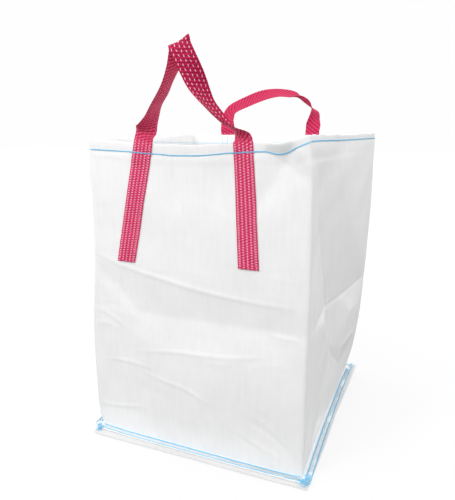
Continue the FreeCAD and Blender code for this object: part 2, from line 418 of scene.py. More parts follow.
CLOTH = woven_cloth("woven_cloth", 0.865)
# The base panel: the same white cloth made darker, as painted shade on the up-facing base and flange.
BASE_CLOTH_PAINTED_SHADE = woven_cloth("woven_cloth_base_painted_shade", 0.72)
WEBBING_FRONT = webbing("webbing_front", False)
WEBBING_BACK = webbing("webbing_back", True)
BLUE = thread("blue_thread", (0.06, 0.45, 0.78), (0.20, 0.68, 0.95))
PALE_BLUE = thread("pale_blue_thread", (0.55, 0.78, 0.90), (0.72, 0.88, 0.96))
PINK = thread("pink_thread", (0.72, 0.20, 0.31), (0.88, 0.48, 0.56))


# ---------------------------------------------------------------- cloth tube

WALL = 225.0
CLOTH_HALF = 0.45
FOOT_Z = 4.0
COLUMNS = 120
ROWS = 158
PITCH = 3.75
FOLD_GAIN = {"front": 0.88, "right": 1.5, "back": 1.0, "left": 1.2}
WRINKLE_GAIN = {"front": 1.1, "right": 1.5, "back": 1.1, "left": 1.2}

# Each corner's way up: height, x, y in millimetres.
CORNERS = {
    "front_left": [(0, -221, -225), (19, -229, -225), (79, -233, -225), (218, -231, -225),
                   (370, -216, -225), (489, -210, -225), (528, -211, -225), (612, -208, -225)],
    "front_right": [(0, 219, -225), (17, 220, -225), (160, 218, -225), (274, 218, -225),
                    (347, 220, -225), (545, 217, -225), (575, 214, -225), (612, 209, -225)],
    "back_right": [(0, 213, 225), (12, 216, 226), (69, 229, 227), (145, 239, 228),
                   (221, 244, 228), (325, 248, 228), (448, 251, 228), (612, 250, 226)],
    "back_left": [(0, -224, 225), (80, -229, 227), (250, -226, 228), (420, -219, 227),
                  (612, -217, 225)],
}
CORNER_LINES = {k: through(v, 8.0) for k, v in CORNERS.items()}


def corner(name, z):
    line = CORNER_LINES[name]
    return np.interp(z, line[:, 0], line[:, 1]), np.interp(z, line[:, 0], line[:, 2])


# Rim height and stitch height: place along the wall, height. Front and back by x, sides by y.
RIM = {
    "front": [(-208, 602), (-130, 599), (-80, 595), (22, 594), (81, 598), (133, 602), (160, 600),
              (185, 604), (209, 612)],
    "right": [(-184, 612), (-100, 609), (-38, 607), (226, 604)],
    "back": [(250, 604), (150, 598), (0, 596), (-217, 596)],
    "left": [(225, 598), (60, 596), (-120, 599), (-225, 603)],
}
STITCH = {
    "front": [(-208, 585), (-118, 582), (-32, 577), (22, 578), (81, 584), (139, 587.5),
              (147, 585), (159, 583), (169, 584), (184, 591), (194, 596), (209, 602)],
    "right": [(-184, 603), (-38, 598), (226, 593)],
    "back": [(250, 592), (200, 583), (60, 580), (0, 581), (-100, 577), (-217, 576)],
    "left": [(225, 576), (120, 582), (60, 586), (0, 588), (-120, 588), (-225, 585)],
}
SIDES = ["front", "right", "back", "left"]
SPANS = {
    "front": ("front_left", "front_right"),
    "right": ("front_right", "back_right"),
    "back": ("back_right", "back_left"),
    "left": ("back_left", "front_left"),
}


def along(side, z):
    """Where a side starts and ends at height z, by x for front and back and by y for the others."""
    first, last = SPANS[side]
    axis = 0 if side in ("front", "back") else 1
    return corner(first, z)[axis], corner(last, z)[axis]


def share_table(tables):
    """A height for every column round the tube, from the four sides' tables."""
    out = []
    for side in SIDES:
        start, end = along(side, 600.0)
        s = np.arange(COLUMNS) / COLUMNS
        table = np.array(sorted(tables[side]), float)
        out.append(np.interp(start + (end - start) * s, table[:, 0], table[:, 1]))
    line = np.concatenate(out)
    for _ in range(2):
        line = (np.roll(line, 1) + 2 * line + np.roll(line, -1)) / 4
    return line


RIM_LINE = share_table(RIM)
STITCH_LINE = share_table(STITCH)
ripple = rng.normal(0, 1, (3, 4 * COLUMNS))
for _ in range(5):
    ripple = (np.roll(ripple, 1, 1) + 2 * ripple + np.roll(ripple, -1, 1)) / 4
RIM_LINE += 1.3 * ripple[0]

# Folds: lines of (place, height, depth), outward positive. Straight facets span between them.
FRONT_FOLDS = [
    [(133, 594, 0), (171, 573, -6), (217, 545, -1), (260, 518, 0)],
    [(133, 620, 1), (165, 603, 11), (190, 607, 5), (209, 612, -3), (260, 618, -14)],
    [(-216, 392, 0.5), (-155, 368, 1.0), (-66, 350, 1.5), (17, 336, 1.6), (95, 329, 1.5),
     (193, 325, 0.6)],
    [(-216, 365, -0.5), (-162, 324, -2.4), (-122, 274, -3.8), (-40, 273, -4.2), (60, 275, -4.4),
     (150, 274, -4.2), (214, 275, -2.0)],
    [(-219, 338, 0.3), (-182, 311, 0.6), (-151, 282, 0.3), (-122, 258, -1.5), (-40, 246, -0.6),
     (60, 245, -0.4), (140, 252, -0.4), (150, 266, -2.6), (212, 262, -0.2)],
    [(-228, 250, 0), (-186, 244, 1.4), (-150, 235, 0.6)],
    [(-110, 215, 3.0), (0, 205, 5.0), (110, 208, 4.6), (190, 215, 2.4)],
    [(-160, 140, 2.0), (-60, 120, 5.0), (60, 112, 6.2), (150, 120, 4.0), (205, 130, 1)],
    [(-205, 50, 0.5), (-60, 45, 3.0), (60, 42, 3.4), (180, 48, 1.2)],
    [(-204, 20, 3.5), (0, 20, 4.6), (196, 20, 3.0)],
    [(-160, 480, 0.8), (-30, 500, -0.6), (110, 470, 1.6)],
    [(-260, 620, 0), (-260, 300, 0), (-260, -5, 0), (-190, -5, 4.6), (0, -5, 5.2),
     (180, -5, 4.6), (260, -5, 0), (260, 300, 0)],
]
RIGHT_FOLDS = [
    [(-240, 600, 0), (-177, 548, -4), (-145, 449, -8), (-65, 282, -12), (-13, 162, -9),
     (70, 89, -5), (120, 0, -5)],
    [(-225, 274, 0), (-150, 273, -4)],
    [(20, 269, -8), (69, 266, -6.5), (221, 263, 0)],
    [(-205, 255, -1.0), (-110, 258, -3.5)],
    [(66, 140, -1.0), (150, 143, 2.5), (232, 144, 0)],
    [(60, 110, -4.0), (150, 96, -3.0), (228, 70, 0)],
    [(40, 420, 1.0), (120, 480, 3.0), (160, 330, 3.0)],
    [(90, 215, 1.5), (160, 210, 3.0)],
    [(-150, 120, -3.5), (-100, 40, -6)],
    [(-190, 20, 0.5), (0, 20, -1.0), (190, 20, 0.5)],
    [(-100, 595, 0), (60, 600, 1), (160, 600, 0)],
    [(-260, 620, 0), (-260, 300, 0), (-260, -5, -2), (-100, -5, -5), (100, -5, -5), (260, -5, -2),
     (260, 300, 0), (260, 620, 0)],
]
BACK_FOLDS = [
    [(-218, 318, 0), (-120, 296, -4.0), (10, 281, -6.0), (130, 287, -5.0), (236, 268, 0)],
    [(-214, 286, 0), (-110, 272, -0.5), (20, 262, -0.6), (126, 268, -0.6), (230, 250, 0)],
    [(-205, 382, 0.4), (-90, 366, 1.6), (40, 352, 1.8), (170, 360, 1.0), (244, 374, 0)],
    [(-150, 190, 3.0), (-20, 176, 5.0), (120, 196, 4.0)],
    [(-120, 78, 3.0), (30, 66, 4.0), (150, 84, 2.4)],
    [(-190, 20, 3.5), (0, 20, 4.6), (190, 20, 3.5)],
    [(-140, 480, 1.0), (0, 500, 1.5), (150, 488, 0.6)],
    [(-260, 620, 0), (-260, -5, 0), (0, -5, 0), (260, -5, 0), (270, 300, 0), (270, 620, 0),
     (0, 620, 0)],
]
LEFT_FOLDS = [
    [(170, 552, -2), (108, 430, -7), (46, 300, -10), (-20, 176, -8), (-96, 84, -4)],
    [(224, 268, 0), (150, 272, -3), (80, 276, -6)],
    [(10, 282, -8), (-90, 290, -5), (-222, 330, 0)],
    [(-70, 150, 1.0), (-160, 132, 2.4), (-224, 140, 0)],
    [(-60, 430, 1.0), (-150, 470, 2.4), (-150, 380, 1.6)],
    [(-190, 20, 2.0), (0, 20, 1.0), (190, 20, 2.0)],
    [(150, 160, 1.5), (120, 90, 0.5)],
    [(-260, 620, 0), (-260, -5, 0), (0, -5, -3), (260, -5, 0), (260, 300, 0), (260, 620, 0),
     (0, 620, 0)],
]


def deeper(side, lines):
    return [[(a, z, d * FOLD_GAIN[side]) for a, z, d in line] for line in lines]


FOLDS = {
    "front": FRONT_FOLDS[:2] + deeper("front", FRONT_FOLDS[2:]),
    "right": deeper("right", RIGHT_FOLDS),
    "back": deeper("back", BACK_FOLDS),
    "left": deeper("left", LEFT_FOLDS),
}

# Thin wrinkles: (points, height, half width), outward positive.
WRINKLES = {
    "front": [
        ([(-216, 390), (-155, 368), (-66, 350), (17, 336), (95, 329), (193, 325)], 1.3, 4.6),
        ([(-120, 193), (-29, 206), (59, 212), (143, 226)], 1.1, 4.6),
        ([(-207, 161), (-145, 164), (-87, 160)], 1.0, 4.4),
        ([(-111, 147), (-65, 139), (-20, 131), (29, 112)], 1.0, 4.6),
        ([(-229, 51), (-177, 56), (-115, 69)], 1.0, 4.6),
        ([(-29, 606), (-30, 576), (-31, 530), (-23, 500), (-3, 442)], -1.1, 3.6),
        ([(133, 596), (171, 577), (217, 546)], 0.8, 4.6),
        ([(150, 271), (180, 268), (214, 267)], 1.0, 4.6),
        ([(-226, 268), (-190, 262), (-150, 240)], 0.9, 5.0),
        ([(-224, 232), (-196, 240), (-165, 232)], 0.7, 5.0),
        ([(120, 92), (160, 70), (196, 40)], -0.9, 9.0),
        ([(96, 60), (140, 42), (186, 22)], 0.8, 8.0),
    ],
    "right": [
        ([(-177, 548), (-145, 449), (-65, 282), (-13, 162), (70, 89)], -1.4, 5.0),
        ([(-225, 274), (-69, 274), (69, 266), (221, 263)], -1.3, 5.0),
        ([(232, 144), (150, 143), (65, 140)], 1.2, 5.0),
        ([(224, 108), (160, 116), (110, 112)], 0.9, 5.0),
        ([(-60, 560), (-70, 520), (-66, 470)], -0.7, 6.0),
        ([(60, 566), (52, 530), (58, 500)], -0.7, 6.0),
    ],
    "back": [
        ([(-205, 382), (-90, 366), (40, 352), (170, 360), (244, 374)], 1.2, 4.8),
        ([(-130, 210), (-20, 222), (90, 214)], 1.0, 4.8),
        ([(40, 140), (110, 132), (190, 142)], 1.0, 4.6),
        ([(-200, 96), (-130, 88), (-60, 94)], 0.9, 4.6),
        ([(30, 600), (34, 550), (24, 490)], -0.9, 4.0),
    ],
    "left": [
        ([(170, 552), (108, 430), (46, 300), (-20, 176), (-96, 84)], -1.3, 5.0),
        ([(224, 268), (80, 276), (-90, 290), (-222, 330)], -1.2, 5.0),
        ([(-224, 140), (-160, 132), (-70, 150)], 1.1, 5.0),
        ([(60, 560), (54, 520), (62, 480)], -0.7, 6.0),
    ],
}


def facet_depth(lines, a, z):
    """Depth at each point of straight facets hung between the fold lines."""
    points, edges = [], []
    for line in lines:
        first = len(points)
        points += [tuple(float(x) for x in p) for p in line]
        edges += [(first + k, first + k + 1) for k in range(len(line) - 1)]
    flat = [Vector(p[:2]) for p in points]
    found = delaunay_2d_cdt(flat, edges, [], 0, 1e-6)
    where, triangles, sources = found[0], found[2], found[3]
    depth = np.zeros_like(a)
    known = [points[s[0]][2] if s else 0.0 for s in sources]
    for tri in triangles:
        (x0, y0), (x1, y1), (x2, y2) = (where[k] for k in tri[:3])
        area = (x1 - x0) * (y2 - y0) - (x2 - x0) * (y1 - y0)
        if abs(area) < 1e-9:
            continue
        w1 = ((a - x0) * (y2 - y0) - (x2 - x0) * (z - y0)) / area
        w2 = ((x1 - x0) * (z - y0) - (a - x0) * (y1 - y0)) / area
        w0 = 1 - w1 - w2
        inside = (w0 >= -1e-6) & (w1 >= -1e-6) & (w2 >= -1e-6)
        value = w0 * known[tri[0]] + w1 * known[tri[1]] + w2 * known[tri[2]]
        depth = np.where(inside, value, depth)
    return depth


def ridge(points, a, z, width):
    """1 along a line that tapers at both ends, falling to 0 at either side."""
    line = through(points, width * 0.45)
    t = np.linspace(0, 1, len(line))
    strength = np.sin(np.pi * np.clip(t, 0.02, 0.98)) ** 0.45
    out = np.zeros_like(a)
    for (pa, pz), s in zip(line, strength):
        near = (a - pa) ** 2 + (z - pz) ** 2
        out = np.maximum(out, s * np.exp(-near / width**2))
    return out


def soften(field, times):
    for _ in range(times):
        p = np.pad(field, 1, mode="edge")
        field = (
            4 * p[1:-1, 1:-1] + 2 * (p[:-2, 1:-1] + p[2:, 1:-1] + p[1:-1, :-2] + p[1:-1, 2:])
            + p[:-2, :-2] + p[2:, 2:] + p[:-2, 2:] + p[2:, :-2]
        ) / 16
    return field


def chance_wrinkles(a, z, low, high, number):
    """Shallow seeded creases, mostly level, as handled tape cloth keeps them."""
    out = np.zeros_like(a)
    for _ in range(number):
        at = rng.uniform(low + 20, high - 20), rng.uniform(30, 560)
        turn = rng.normal(0, 0.35) + (math.pi / 2 if rng.random() < 0.22 else 0)
        half = rng.uniform(16, 55)
        bow = rng.uniform(-8, 8)
        step = np.array([math.cos(turn), math.sin(turn)])
        side = np.array([-step[1], step[0]])
        line = [np.array(at) - half * step, np.array(at) + bow * side, np.array(at) + half * step]
        out += rng.choice([-1, 1]) * rng.uniform(0.16, 0.42) * ridge(line, a, z, rng.uniform(4, 9))
    return out


def undulation(a, z):
    out = np.zeros_like(a)
    for _ in range(16):
        length = rng.uniform(70, 260)
        turn = rng.uniform(0, math.pi)
        phase = rng.uniform(0, 2 * math.pi)
        out += 0.20 * np.sin((a * math.cos(turn) + z * math.sin(turn)) * 2 * math.pi / length + phase)
    return out


def wall_rows(side):
    """Points of one wall: rows go up, columns go from its first corner to just before its last."""
    k = SIDES.index(side) * COLUMNS
    rim = RIM_LINE[np.arange(k, k + COLUMNS + 1) % (4 * COLUMNS)]
    stitch = STITCH_LINE[np.arange(k, k + COLUMNS + 1) % (4 * COLUMNS)]
    v = np.linspace(0, 1, ROWS)[:, None]
    z = FOOT_Z + v * (rim[None, :] - FOOT_Z)
    s = (np.arange(COLUMNS + 1) / COLUMNS)[None, :] * np.ones_like(z)
    first, last = (corner(name, z) for name in SPANS[side])
    x = first[0] + (last[0] - first[0]) * s
    y = first[1] + (last[1] - first[1]) * s
    a = x if side in ("front", "back") else y
    low, high = a.min(), a.max()
    depth = soften(facet_depth(FOLDS[side], a, z), 2)
    fine = undulation(a, z) + chance_wrinkles(a, z, low, high, 46)
    for points, height, width in WRINKLES[side]:
        fine = fine + WRINKLE_GAIN[side] * height * ridge(points, a, z, width * 0.66)
    near = np.minimum(s, 1 - s) * COLUMNS * PITCH
    foot = smoothstep((z - FOOT_Z) / 18)
    fine = fine * smoothstep(near / 26) * foot
    tuck = np.exp(-(((z - stitch) / 3.6) ** 2))
    wave = ripple[1, np.arange(k, k + COLUMNS + 1) % (4 * COLUMNS)][None, :]
    pucker = wave * np.exp(-(((z - stitch + 7) / 13) ** 2))
    hem = 0.5 * smoothstep((z - rim + 33) / 4)
    fine = fine + (-0.7 * tuck + 1.0 * pucker + hem) * smoothstep(near / 14)
    outward = {"front": (0, -1), "right": (1, -0.07), "back": (0, 1), "left": (-1, 0)}[side]
    fade = smoothstep(near / 9) if side != "front" else np.where(s < 0.5, smoothstep(near / 9), 1)
    depth = depth * fade
    grid = np.stack([x + outward[0] * (depth + fine), y + outward[1] * (depth + fine), z], -1)
    return grid, s


grids = {side: wall_rows(side) for side in SIDES}
front_end = grids["front"][0][:, -1]
right_grid, right_share = grids["right"]
shift = front_end - right_grid[:, 0]
right_grid = right_grid + shift[:, None, :] * (1 - right_share)[..., None]
walls = np.concatenate(
    [grids["front"][0][:, :-1], right_grid[:, :-1], grids["back"][0][:, :-1],
     grids["left"][0][:, :-1]], 1,
)
TOTAL = walls.shape[1]
for _ in range(2):
    eased = (np.roll(walls, 1, 1) + 2 * walls + np.roll(walls, -1, 1)) / 4
    gap = np.abs((np.arange(TOTAL) + COLUMNS // 2) % COLUMNS - COLUMNS // 2)
    share = np.where(gap == 0, 1.0, 0.0)[None, :, None]
    walls = walls + (eased - walls) * share


def normals_of(grid):
    across = np.roll(grid, -1, 1) - np.roll(grid, 1, 1)
    up = np.gradient(grid, axis=0)
    return unit(np.cross(across, up))


WALL_NORMALS = normals_of(walls)


def on_cloth(column, z):
    """Point and outward normal of the cloth's middle at a column and a height."""
    column = np.asarray(column, float) % TOTAL
    rim = np.interp(column, np.arange(TOTAL + 1), np.append(RIM_LINE, RIM_LINE[0]))
    row = np.clip((np.asarray(z, float) - FOOT_Z) / (rim - FOOT_Z) * (ROWS - 1), 0, ROWS - 1.001)
    c0, r0 = np.floor(column).astype(int), np.floor(row).astype(int)
    fc, fr = (column - c0)[..., None], (row - r0)[..., None]
    c0, c1 = c0 % TOTAL, (c0 + 1) % TOTAL
    out = []
    for g in (walls, WALL_NORMALS):
        low = g[r0, c0] * (1 - fc) + g[r0, c1] * fc
        high = g[r0 + 1, c0] * (1 - fc) + g[r0 + 1, c1] * fc
        out.append(low * (1 - fr) + high * fr)
    return out[0], unit(out[1])


def column_of(side, place, z):
    start, end = along(side, z)
    return (SIDES.index(side) + (place - start) / (end - start)) * COLUMNS


def cloth_tube():
    """Walls, a hem turned down inside at the rim, and a lip turned out at the foot."""
    foot, foot_n = walls[0], WALL_NORMALS[0].copy()
    foot_n[:, 2] = 0
    foot_n = unit(foot_n)
    for _ in range(2):
        foot_n = unit(np.roll(foot_n, 1, 0) + 2 * foot_n + np.roll(foot_n, -1, 0))
    lip = []
    for out, height in ((16.0, 2.1), (12.0, 1.9), (8.0, 1.8), (4.0, 1.8), (1.6, 1.9), (0.5, 2.6)):
        row = foot + foot_n * out
        row[:, 2] = height + (0.5 * np.maximum(ripple[2], 0) if out > 10 else 0)
        lip.append(row)
    top, top_n = walls[-1], WALL_NORMALS[-1].copy()
    top_n[:, 2] = 0
    top_n = unit(top_n)
    turned = []
    gap = 1.3
    for inward, rise in ((0.25, 0.5), (gap / 2, 0.75), (gap - 0.25, 0.5)):
        row = top - top_n * inward
        row[:, 2] += rise
        turned.append(row)
    depth = 30.0
    for k in range(9):
        down = depth * k / 8
        level = (RIM_LINE - down - FOOT_Z) / (RIM_LINE - FOOT_Z) * (ROWS - 1)
        point, normal = on_cloth(np.arange(TOTAL), RIM_LINE - down)
        row = point - normal * (gap + 0.5 * (k / 8) * np.abs(ripple[1])[:, None])
        row[:, 2] = RIM_LINE - down
        turned.append(row)
    grid = np.concatenate([np.stack(lip), walls, np.stack(turned)])
    normal = normals_of(grid)
    outer, inner = grid + normal * CLOTH_HALF, grid - normal * CLOTH_HALF
    rows = len(grid)
    n = rows * TOTAL
    points = np.concatenate([outer.reshape(-1, 3), inner.reshape(-1, 3)]) * MM
    r, c = np.meshgrid(np.arange(rows - 1), np.arange(TOTAL), indexing="ij")
    r, c = r.ravel(), c.ravel()
    d = (c + 1) % TOTAL
    front = np.stack([r * TOTAL + c, r * TOTAL + d, (r + 1) * TOTAL + d, (r + 1) * TOTAL + c], 1)
    back = front[:, ::-1] + n
    c = np.arange(TOTAL)
    d = (c + 1) % TOTAL
    low = np.stack([c + n, d + n, d, c], 1)
    high = np.stack([c, d, d + n, c + n], 1) + (rows - 1) * TOTAL
    faces = np.concatenate([front, back, low, high])
    length = np.concatenate([[0], np.cumsum(np.linalg.norm(np.diff(grid, axis=0), axis=2).mean(1))])
    pitch = PITCH * MM
    u = np.arange(TOTAL + 1) * pitch
    v = length * MM
    ru, cu = np.meshgrid(np.arange(rows - 1), np.arange(TOTAL), indexing="ij")
    ru, cu = ru.ravel(), cu.ravel()
    quad_u = np.stack([u[cu], u[cu + 1], u[cu + 1], u[cu]], 1)
    quad_v = np.stack([v[ru], v[ru], v[ru + 1], v[ru + 1]], 1)
    edge_u = np.stack([u[c], u[c + 1], u[c + 1], u[c]], 1)
    edge_v = np.zeros_like(edge_u)
    all_u = np.concatenate([quad_u, quad_u[:, ::-1], edge_u, edge_u])
    all_v = np.concatenate([quad_v, quad_v[:, ::-1], edge_v, edge_v + v[-1]])
    uv = np.stack([all_u, all_v], -1).reshape(-1, 2)
    piece = new_piece("cloth_tube", points, faces.tolist(), CLOTH, uv)
    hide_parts("body_tube")
    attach(piece, "bag")
    return piece


cloth = cloth_tube()


# ---------------------------------------------------------------- base panel

# Flange edges: front by x, right by y, back by x, left by y, in millimetres.
FLANGE = {
    "front": [(-232, -256), (-212, -261), (-120, -260), (0, -258), (120, -257), (225, -255)],
    "right": [(-255, 234), (-120, 236), (0, 234), (120, 237), (240, 238)],
    "back": [(-232, 250), (-100, 253), (60, 250), (238, 252)],
    "left": [(-262, -222), (-240, -229), (-100, -232), (80, -229), (252, -232)],
}


def base_panel():
    """The flat base, stitched to the lip, with its free flange outside the seam."""
    n, thick = 61, 0.8
    t = np.linspace(0, 1, n)
    t = 0.5 - 0.5 * np.cos(np.pi * t) * (0.55 + 0.45 * np.cos(np.pi * t) ** 2)
    s, r = np.meshgrid(t, t)

    def edge(side, place):
        table = np.array(sorted(FLANGE[side]), float)
        return np.interp(place, table[:, 0], table[:, 1])

    x = -230 + 466 * s
    y = -257 + 508 * r
    for _ in range(3):
        left, right = edge("left", y), edge("right", y)
        front, back = edge("front", x), edge("back", x)
        x = left + (right - left) * s
        y = front + (back - front) * r
    out = np.maximum(np.abs(x) - 243 + 12, np.abs(y) - 243)
    lift = 1.5 * smoothstep(out / 14) * (0.5 + 0.5 * np.sin(x / 17 + 1.3 * np.sin(y / 23)))
    low = np.stack([x, y, lift * 0.9], -1)
    high = low + (0, 0, thick)
    points = np.concatenate([high.reshape(-1, 3), low.reshape(-1, 3)]) * MM
    k = n * n
    faces = []
    for a in range(n - 1):
        for b in range(n - 1):
            q = (a * n + b, a * n + b + 1, (a + 1) * n + b + 1, (a + 1) * n + b)
            faces.append(q)
            faces.append(tuple(i + k for i in reversed(q)))
    ring = [b for b in range(n)] + [a * n + n - 1 for a in range(1, n)]
    ring += [(n - 1) * n + b for b in range(n - 2, -1, -1)] + [a * n for a in range(n - 2, 0, -1)]
    for a, b in zip(ring, ring[1:] + ring[:1]):
        faces.append((a, a + k, b + k, b))
    flat = points[:, :2]
    uv = np.concatenate([flat[list(f)] for f in faces])
    piece = new_piece("cloth_base", points, faces, BASE_CLOTH_PAINTED_SHADE, uv)
    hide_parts("base_panel")
    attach(piece, "bag")
    return piece


base = base_panel()


# ---------------------------------------------------------------- handles

FRONT_LOOP = [
    ((-84, -226, 615), (1, 0, 0)), ((-76, -229, 628), (0.60, 0.80, 0)),
    ((-65, -233, 643), (0.20, 0.98, 0)), ((-53, -238, 660), (0, 1, 0)),
    ((-37, -243, 678), (0, 1, 0)), ((-24, -247, 696), (0, 1, 0.05)),
    ((-13, -249, 715), (0.15, 1, 0.1)), ((-4, -249, 734), (0.5, 0.8, 0.35)),
    ((2, -250, 748), (0.7, 0.5, 0.5)), ((5, -256, 757), (0.78, 0.34, 0.53)),
    ((8, -263, 751), (0.78, 0.34, 0.53)), ((18, -262, 730), (0.87, 0.3, 0.4)),
    ((25, -257, 712), (0.87, 0.45, 0.25)), ((32, -252, 694), (0.7, 0.7, 0.15)),
    ((40, -248, 678), (0.45, 0.9, 0.1)), ((49, -244, 663), (0.2, 1, 0.1)),
    ((61, -240, 649), (0.05, 1, 0.1)), ((75, -236, 637), (-0.1, 1, 0)),
    ((87, -231, 625), (-0.42, 0.9, 0)), ((96, -227, 613), (-0.9, 0.42, 0)),
]
BACK_LOOP = [
    ((-119, 226, 615), (1, 0, 0)), ((-121, 230, 632), (0.95, -0.25, -0.1)),
    ((-119, 235, 648), (0.9, -0.35, -0.3)), ((-112, 237, 660), (0.7, -0.5, -0.5)),
    ((-98, 239, 669), (0.55, -0.6, -0.6)), ((-76, 240, 678), (0.45, -0.6, -0.65)),
    ((-44, 242, 690), (0.45, -0.6, -0.65)), ((-14, 242, 697), (0.38, -0.7, -0.6)),
    ((18, 242, 699), (0.26, -0.82, -0.5)), ((50, 240, 694), (0.14, -0.9, -0.4)),
    ((74, 238, 684), (0.2, -0.9, 0.25)), ((95, 235, 670), (0.1, -0.9, 0.35)),
    ((107, 231, 654), (-0.30, -0.93, 0.15)), ((106, 228, 634), (-0.66, -0.75, 0)),
    ((104, 226, 615), (-1, 0, 0)),
]
# Sewn legs: x at the rim, length, lean in degrees with the foot to the left positive.
LEGS = {
    "front_left": (-88, 231, 12.5),
    "front_right": (100.5, 214, -2.9),
    "back_left": (-119, 225, 2.0),
    "back_right": (103, 225, -2.0),
}
# How wide the webbing lies, as a share of its cut width: at the foot, the rim, the loop, the rim.
SPREAD = {"front": (0.97, 0.95, 0.90, 0.87, 0.96), "back": (0.97, 0.95, 0.94, 0.86, 0.97)}
# How deep the webbing is cupped along each loop, in millimetres: share of the way, depth.
CUP = {
    "front": [(0, 0.3), (0.2, 1.5), (0.6, 1.5), (0.80, 5.5), (0.90, 8.0), (0.96, 3.0), (1, 0.3)],
    "back": [(0, 0.3), (0.2, -1.5), (0.6, -1.5), (0.78, -3.0), (0.9, -1.5), (1, 0.3)],
}
LEG_TOP = 601.0
WEB_WIDE, WEB_THICK = 40.0, 1.9
HANDLES = {
    "front": (FRONT_LOOP, "front", WEBBING_FRONT),
    "back": (BACK_LOOP, "back", WEBBING_BACK),
}


def leg_line(name):
    """Stations of a sewn leg from its foot up to the rim, and its across direction."""
    x, length, lean = LEGS[name]
    turn = math.radians(lean)
    foot = np.array([x - length * math.sin(turn), LEG_TOP - length * math.cos(turn)])
    top = np.array([x, LEG_TOP])
    return foot, top, np.array([math.cos(turn), 0, -math.sin(turn)])


def webbing_handle(which):
    loop, side, material = HANDLES[which]
    wall_y = -226.0 if side == "front" else 226.0
    way = -1.0 if side == "front" else 1.0
    stations = []
    first_foot, first_rim, middle, last_rim, last_foot = SPREAD[which]
    foot, top, across = leg_line(f"{which}_left")
    for t in np.linspace(0, 1, 9):
        at = foot + (top - foot) * t
        spread = first_foot + (first_rim - first_foot) * t
        stations.append([at[0], wall_y, at[1], *across, spread, 0])
    for k, (at, direction) in enumerate(loop):
        t = k / (len(loop) - 1)
        spread = np.interp(t, (0, 0.25, 0.75, 1), (first_rim, middle, middle, last_rim))
        cup = np.interp(t, *np.array(CUP[which], float).T)
        stations.append([*at, *unit(np.array(direction, float)), spread, cup])
    foot, top, across = leg_line(f"{which}_right")
    for t in np.linspace(1, 0, 9):
        at = foot + (top - foot) * t
        spread = last_foot + (last_rim - last_foot) * t
        stations.append([at[0], wall_y, at[1], *(-across), spread, 0])
    dense = through(stations, 1.9)
    centre = dense[:, :3]
    ahead = unit(np.gradient(centre, axis=0))
    side_way = dense[:, 3:6]
    side_way = unit(side_way - ahead * (side_way * ahead).sum(1, keepdims=True))
    normal = unit(np.cross(side_way, ahead))
    level = np.sign(side_way[:, :1]) * np.array([[1.0, 0.0, 0.0]])
    ends = centre[:, 2] - np.where(np.arange(len(centre)) < len(centre) / 2,
                                   centre[0, 2], centre[-1, 2])
    cut = smoothstep(1 - ends / 16)[:, None]
    side_way = side_way * (1 - cut) + level * cut
    run = np.concatenate([[0], np.cumsum(np.linalg.norm(np.diff(centre, axis=0), axis=1))])
    free = smoothstep((centre[:, 2] - 592) / 22)
    m = 27
    t = np.sin(np.linspace(-1, 1, m) * math.pi / 2 * 0.96)
    t = t / t[-1]
    scallop = WEB_WIDE / 2 * dense[:, 6] - 0.4 + 0.4 * np.abs(np.sin(run * math.pi / 4.5))
    thick = WEB_THICK / 2 * np.sqrt(np.clip(1 - np.abs(t) ** 7, 0.05, 1))
    bow = dense[:, 7:8] * (1 - t**2)[None, :]
    weave_a = 0.16 * np.sin(t[None, :] * WEB_WIDE / 2 * 2 * math.pi / 6.7
                            + run[:, None] * 2 * math.pi / 7.5)
    rows = []
    for face in (1, -1):
        off = face * (thick[None, :] + weave_a * (1 - np.abs(t[None, :]) ** 4))
        off = off + bow * free[:, None]
        p = (
            centre[:, None, :]
            + side_way[:, None, :] * (t[None, :] * scallop[:, None])[..., None]
            + normal[:, None, :] * off[..., None]
        )
        column = column_of(side, p[..., 0], p[..., 2])
        cloth_point, cloth_normal = on_cloth(column, np.minimum(p[..., 2], 600.0))
        rest = cloth_point[..., 1] + way * (CLOTH_HALF + 0.25 + WEB_THICK / 2)
        signed = off * (normal[:, 1:2] * 1.0)
        laid = rest + signed
        hold = (1 - free)[:, None]
        p[..., 1] = p[..., 1] * (1 - hold) + laid * hold
        rows.append(p)
    ring = np.concatenate([rows[0], rows[1][:, ::-1]], 1)
    k, w = ring.shape[:2]
    points = ring.reshape(-1, 3) * MM
    faces, uv = [], []
    place = np.concatenate([t, t[::-1]]) * WEB_WIDE / 2 * MM + 0.0201
    for i in range(k - 1):
        for j in range(w):
            h = (j + 1) % w
            faces.append((i * w + j, i * w + h, (i + 1) * w + h, (i + 1) * w + j))
            va, vb = run[i] * MM, run[i + 1] * MM
            uv += [(place[j], va), (place[h], va), (place[h], vb), (place[j], vb)]
    for i, flip in ((0, True), (k - 1, False)):
        for j in range(m - 1):
            q = (i * w + j, i * w + j + 1, i * w + w - 2 - j, i * w + w - 1 - j)
            q = q if not flip else q[::-1]
            faces.append(q)
            uv += [(place[j % w], run[i] * MM)] * 4
    piece = new_piece(f"{which}_webbing", points, faces, material, uv)
    inner = np.zeros((k, w), np.float32)
    if which == "front":
        inner[:, m:] = 1.0
    else:
        inner[:, :m] = 1.0
    piece.data.attributes.new("inner", "FLOAT", "POINT").data.foreach_set("value", inner.ravel())
    sewn = np.repeat((1 - smoothstep((centre[:, 2] - 597) / 8))[:, None], w, 1).astype(np.float32)
    piece.data.attributes.new("sewn", "FLOAT", "POINT").data.foreach_set("value", sewn.ravel())
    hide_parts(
        f"{which}_handle_loop",
        *(f"{which}_handle_{hand}_{part}" for hand in ("left", "right") for part in ("leg", "bend")),
    )
    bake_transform(piece)
    return piece, run[-1] * MM


for which in HANDLES:
    strap, strap_length = webbing_handle(which)


# ---------------------------------------------------------------- threads

